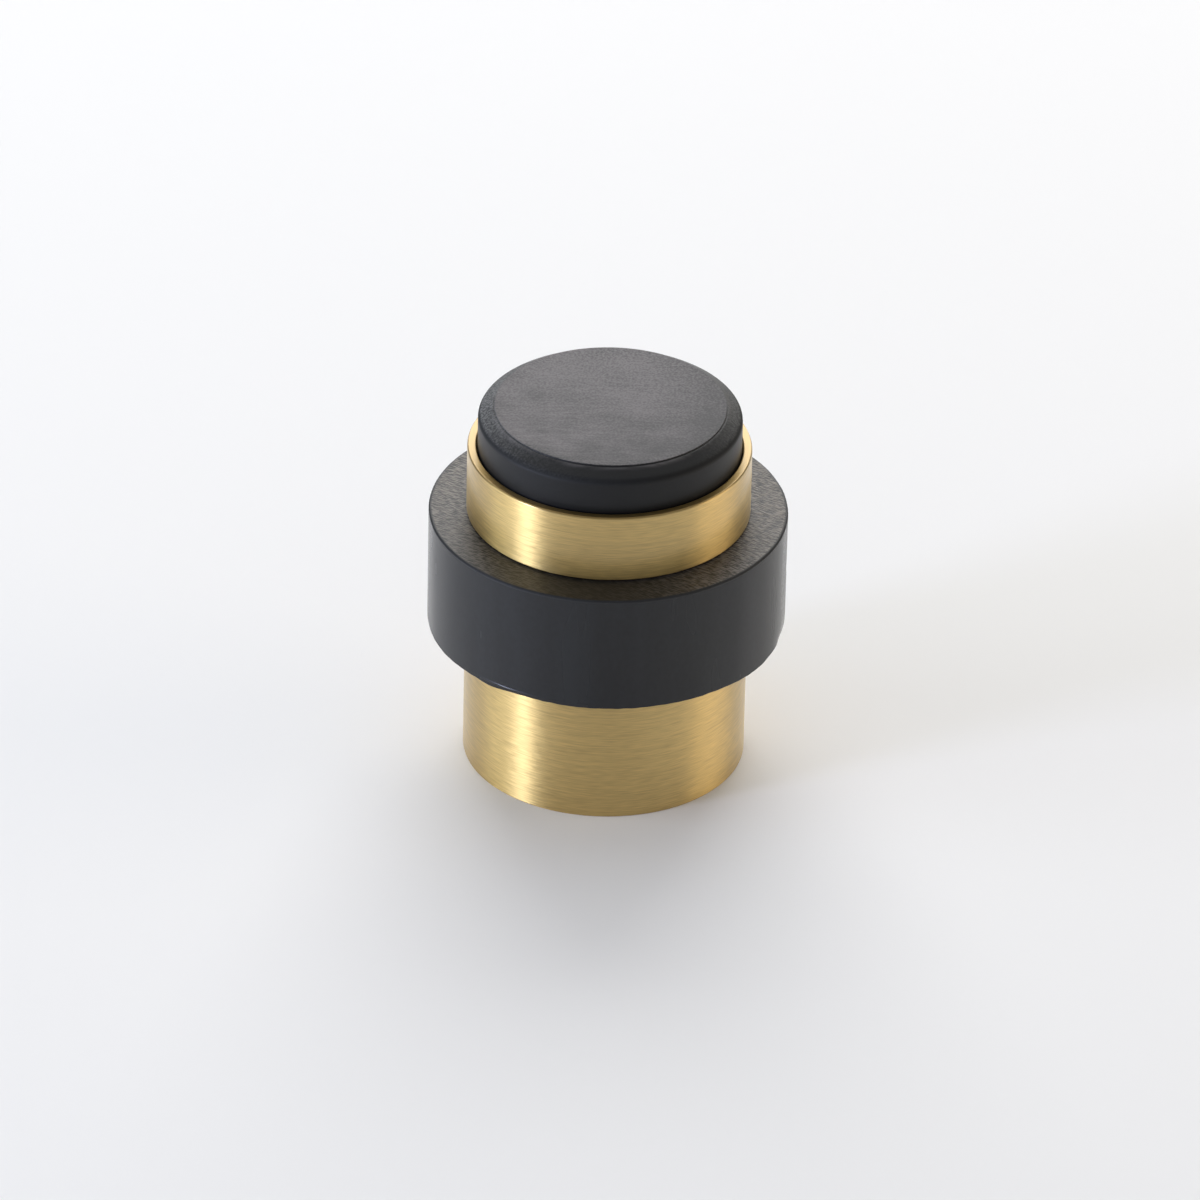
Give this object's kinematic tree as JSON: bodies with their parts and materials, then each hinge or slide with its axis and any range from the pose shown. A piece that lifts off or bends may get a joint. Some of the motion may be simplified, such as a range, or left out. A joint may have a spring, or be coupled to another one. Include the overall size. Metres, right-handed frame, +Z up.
{
  "type": "cylindrical door stop",
  "caption": "Floor-mounted cylindrical door stop: a turned brass post with a rubber buffer ring in a groove and a rubber plug that lifts out to reach the fixing screw.",
  "frame": {"origin": "centre of the foot, on the floor", "axes": "+Z up along the post's axis, towards the plug"},
  "size_m": [0.0405, 0.0404, 0.0444],
  "materials": {
    "satin_brass": "satin, brushed around the axis",
    "ring_rubber": "dull, with knife-cut ends",
    "plug_rubber": "dull moulded, with a grey bloom on top"
  },
  "bodies": {
    "post": {"post": "satin_brass", "buffer_ring": "ring_rubber"},
    "plug": {"top_plug": "plug_rubber"}
  },
  "joints": [
    {"name": "plug_pull", "type": "slide", "parent": "post", "child": "plug", "axis": [0, 0, 1], "range_m": [0, 0.015]}
  ]
}
